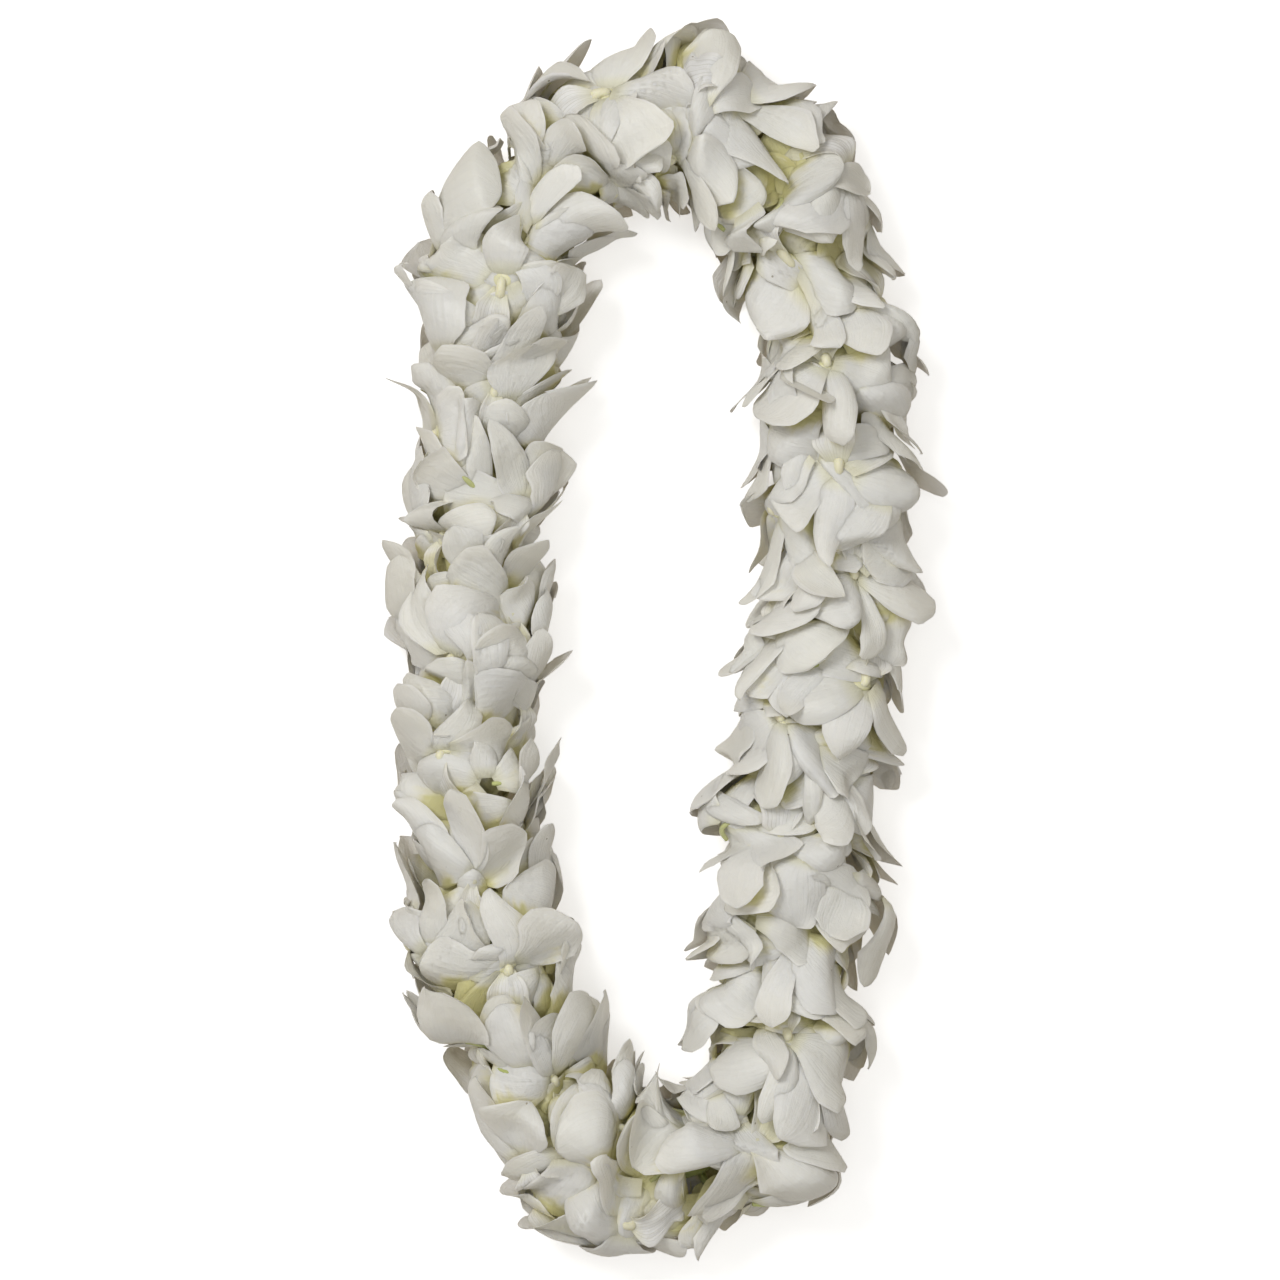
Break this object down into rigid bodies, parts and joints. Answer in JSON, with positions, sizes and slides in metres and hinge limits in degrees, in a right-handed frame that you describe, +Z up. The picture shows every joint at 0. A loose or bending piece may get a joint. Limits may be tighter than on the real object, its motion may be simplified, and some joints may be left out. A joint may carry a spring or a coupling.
{
  "type": "double orchid lei",
  "caption": "Full round garland of white orchid blooms, back to back on one closed loop of string, laid flat as a long oval.",
  "frame": {"origin": "on the surface the lei lies on, under the middle of its plan", "axes": "+Z up, +Y along the long axis of the loop, +X across it"},
  "size_m": [0.2381, 0.5252, 0.0734],
  "materials": {
    "petal_white": "soft living petals with a faint satin sheen, yellow-green at the throat",
    "thread": "twisted cotton thread"
  },
  "bodies": {
    "root": {"bloom_pair_01": "petal_white", "bloom_pair_02": "petal_white", "bloom_pair_03": "petal_white", "bloom_pair_04": "petal_white", "bloom_pair_05": "petal_white", "bloom_pair_06": "petal_white", "bloom_pair_07": "petal_white", "bloom_pair_08": "petal_white", "bloom_pair_09": "petal_white", "bloom_pair_10": "petal_white", "bloom_pair_11": "petal_white", "bloom_pair_12": "petal_white", "bloom_pair_13": "petal_white", "bloom_pair_14": "petal_white", "bloom_pair_15": "petal_white", "bloom_pair_16": "petal_white", "bloom_pair_17": "petal_white", "bloom_pair_18": "petal_white", "bloom_pair_19": "petal_white", "bloom_pair_20": "petal_white", "bloom_pair_21": "petal_white", "bloom_pair_22": "petal_white", "bloom_pair_23": "petal_white", "bloom_pair_24": "petal_white", "bloom_pair_25": "petal_white", "bloom_pair_26": "petal_white", "bloom_pair_27": "petal_white", "bloom_pair_28": "petal_white", "bloom_pair_29": "petal_white", "bloom_pair_30": "petal_white", "bloom_pair_31": "petal_white", "bloom_pair_32": "petal_white", "bloom_pair_33": "petal_white", "bloom_pair_34": "petal_white", "bloom_pair_35": "petal_white", "bloom_pair_36": "petal_white", "bloom_pair_37": "petal_white", "bloom_pair_38": "petal_white", "bloom_pair_39": "petal_white", "bloom_pair_40": "petal_white", "bloom_pair_41": "petal_white", "bloom_pair_42": "petal_white", "bloom_pair_43": "petal_white", "bloom_pair_44": "petal_white", "bloom_pair_45": "petal_white", "bloom_pair_46": "petal_white", "string": "thread"}
  },
  "joints": []
}
